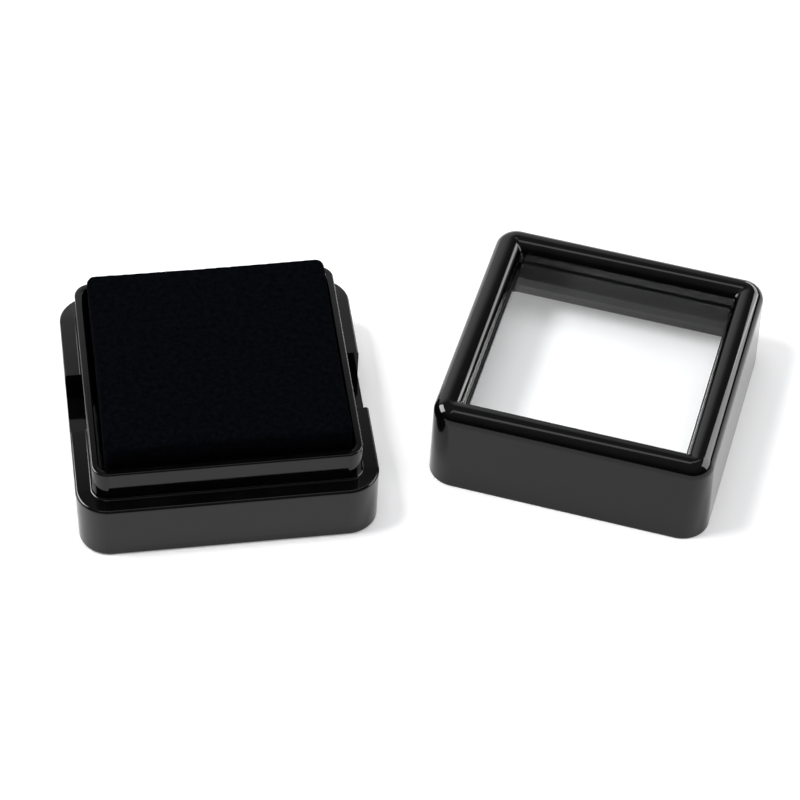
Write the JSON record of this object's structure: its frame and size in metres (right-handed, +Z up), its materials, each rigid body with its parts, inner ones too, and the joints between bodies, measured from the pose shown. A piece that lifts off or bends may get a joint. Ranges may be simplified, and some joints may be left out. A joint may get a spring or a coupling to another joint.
{
  "type": "gemstone display box",
  "caption": "Small square black box for showing a loose gemstone: tray with raised rim and velvet pad, and a separate lid with a clear window and a round top edge.",
  "frame": {"origin": "centre of the base's underside, on the table", "axes": "+X from the base towards the lid that stands beside it, +Y towards the back, +Z up"},
  "size_m": [0.0724, 0.0364, 0.0123],
  "materials": {
    "black_plastic": "polished black moulding",
    "foam": "dark soft foam",
    "velvet": "short black pile",
    "clear_window": "clear and polished"
  },
  "bodies": {
    "base": {"base_shell": "black_plastic"},
    "pad": {"pad_foam": "foam", "pad_velvet": "velvet"},
    "lid": {"lid_frame": "black_plastic", "window_pane": "clear_window"}
  },
  "joints": [
    {"name": "lid_lift", "type": "slide", "parent": "base", "child": "lid", "axis": [0, 0, 1], "range_m": [0, 0.03]},
    {"name": "pad_lift", "type": "slide", "parent": "base", "child": "pad", "axis": [0, 0, 1], "range_m": [0, 0.015]}
  ]
}
